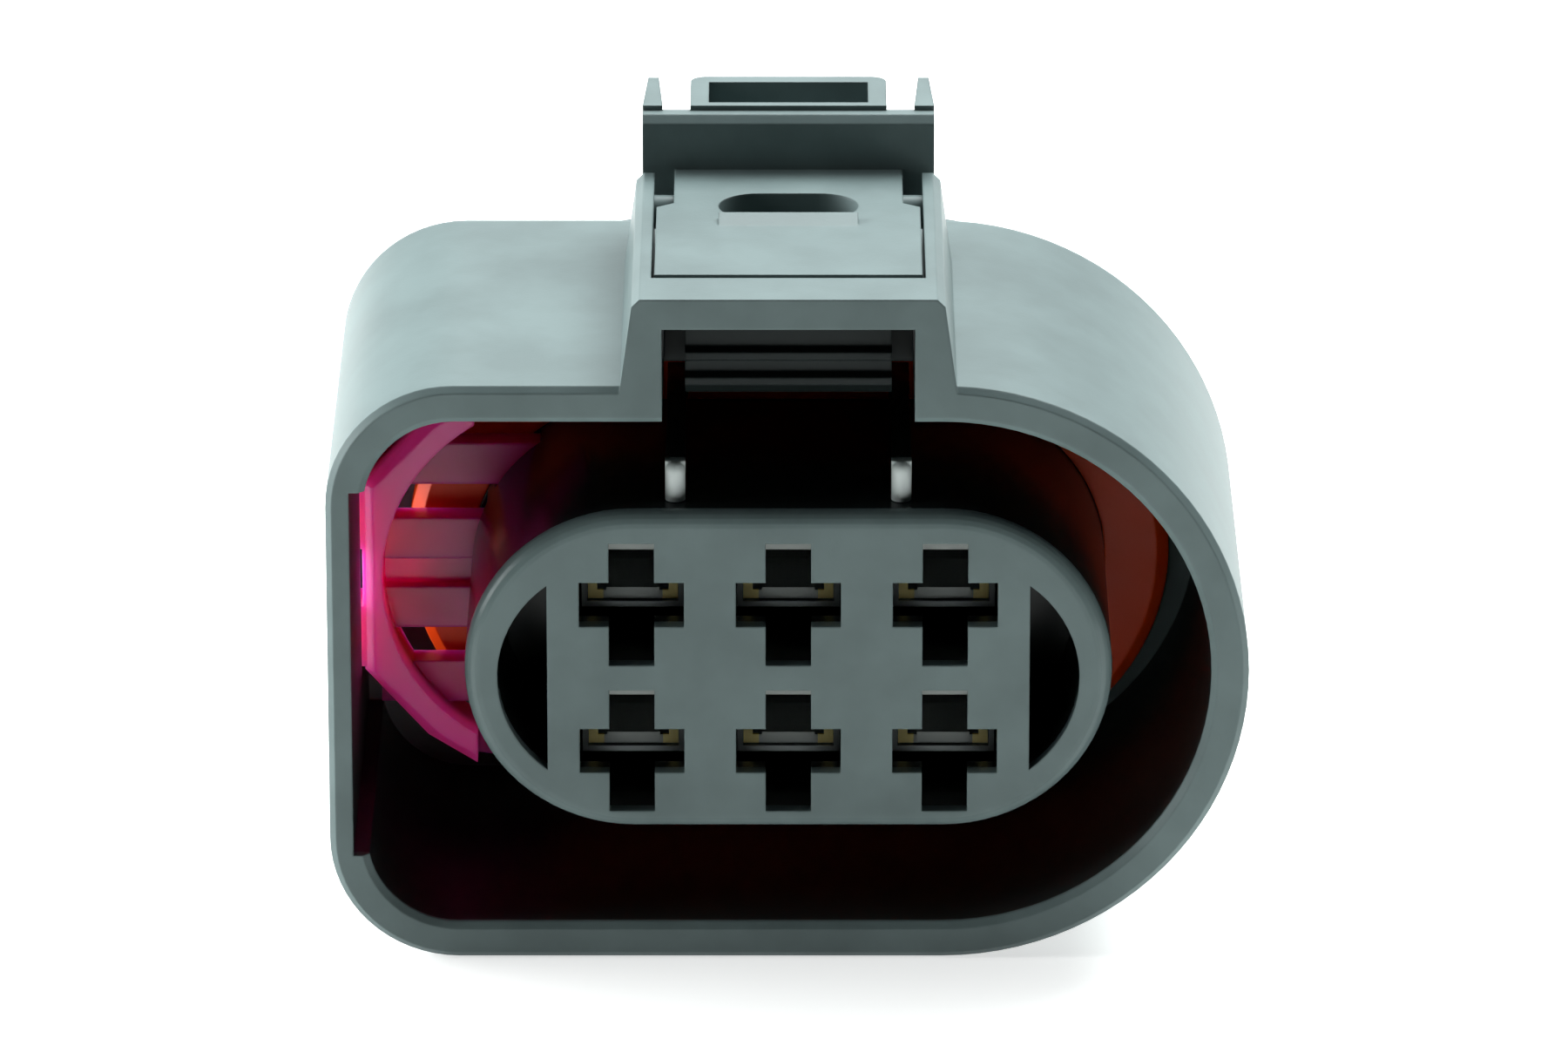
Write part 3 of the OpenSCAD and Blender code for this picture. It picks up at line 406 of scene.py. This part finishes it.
# Matt paper that glows a little, more so to the camera's own rays, so that it reads as white
# round the part's shadow. It is clear from below, so that the underside can be seen
glow_on_part, glow_seen = 0.36, 0.6
paper, tree, output, _ = new_material("white_paper")
ray = add_node(tree, "ShaderNodeLightPath").outputs
glow = add_node(tree, "ShaderNodeMapRange", {"To Min": glow_on_part, "To Max": glow_seen},
                {"Value": ray["Is Camera Ray"]})
shader = add_node(tree, "ShaderNodeBsdfPrincipled",
                  {"Base Color": srgb("#f2f2f0"), "Roughness": 0.9, "Specular IOR Level": 0.0,
                   "Emission Color": srgb("#ffffff")},
                  {"Emission Strength": glow.outputs["Result"]})
clear = add_node(tree, "ShaderNodeBsdfTransparent")
beneath = add_node(tree, "ShaderNodeNewGeometry").outputs["Backfacing"]
sheet = add_node(tree, "ShaderNodeMixShader",
                 links={0: beneath, 1: shader.outputs["BSDF"], 2: clear.outputs["BSDF"]})
tree.links.new(sheet.outputs["Shader"], output.inputs["Surface"])
table.data.materials.append(paper)

# The room fades from dark in front to bright behind, and the camera itself sees plain white
room_strength, fade_reach = 1.15, 0.35
world = bpy.data.worlds.new("room")
scene.world = world
world.use_nodes = True
tree = world.node_tree
tree.nodes.clear()
output = add_node(tree, "ShaderNodeOutputWorld")
direction = add_node(tree, "ShaderNodeTexCoord").outputs["Generated"]
facing = add_node(tree, "ShaderNodeSeparateXYZ", links={"Vector": direction}).outputs
fade = add_node(tree, "ShaderNodeMapRange",
                {"From Min": -fade_reach, "From Max": fade_reach,
                 "To Min": 0.0, "To Max": room_strength},
                {"Value": facing["Y"]}, interpolation_type="SMOOTHSTEP")
room = add_node(tree, "ShaderNodeBackground", {"Color": srgb("#f4fbfc")},
                {"Strength": fade.outputs["Result"]})
white = add_node(tree, "ShaderNodeBackground", {"Color": srgb("#ffffff"), "Strength": 1.0})
ray = add_node(tree, "ShaderNodeLightPath").outputs
mixed = add_node(tree, "ShaderNodeMixShader",
                 links={0: ray["Is Camera Ray"], 1: room.outputs["Background"],
                        2: white.outputs["Background"]})
tree.links.new(mixed.outputs["Shader"], output.inputs["Surface"])

# Both lamps are soft boxes that face the frame's origin, with their power in watts
for name, lamp_place, lamp_size, power, lamp_tint in [
        ("key", (0.15, 0.3, 0.42), (0.5, 0.25), 5.2, "#f8ffff"),
        ("side", (-0.4, 0.06, 0.12), (0.3, 0.2), 2.6, "#fbffff")]:
    lamp = bpy.data.lights.new(name, "AREA")
    lamp.shape = "RECTANGLE"
    lamp.size, lamp.size_y = lamp_size
    lamp.energy = power
    lamp.color = srgb(lamp_tint)[:3]
    stand = bpy.data.objects.new(name, lamp)
    scene.collection.objects.link(stand)
    stand.location = lamp_place
    stand.rotation_euler = (-stand.location).to_track_quat("-Z", "Y").to_euler()

# The camera looks down at the middle of the shroud's rim through a long lens, and aims a little
# above it and to the left
elevation = math.radians(21.3)
distance = 350 * MM
sensor_width, focal_length = 36, 252
aim_above_mm, aim_left_mm = 4.889, 0.139
rim_centre = Vector((0, foot.y, 0))
forward = Vector((0, math.cos(elevation), -math.sin(elevation)))
upward = Vector((0, math.sin(elevation), math.cos(elevation)))
camera = bpy.data.objects.new("camera", bpy.data.cameras.new("camera"))
scene.collection.objects.link(camera)
scene.camera = camera
camera.data.sensor_width = sensor_width
camera.data.lens = focal_length
camera.location = rim_centre - forward * distance
aim = rim_centre + upward * aim_above_mm * MM + Vector((-aim_left_mm * MM, 0, 0))
camera.rotation_euler = (aim - camera.location).to_track_quat("-Z", "Y").to_euler()

scene.view_settings.view_transform = "Standard"
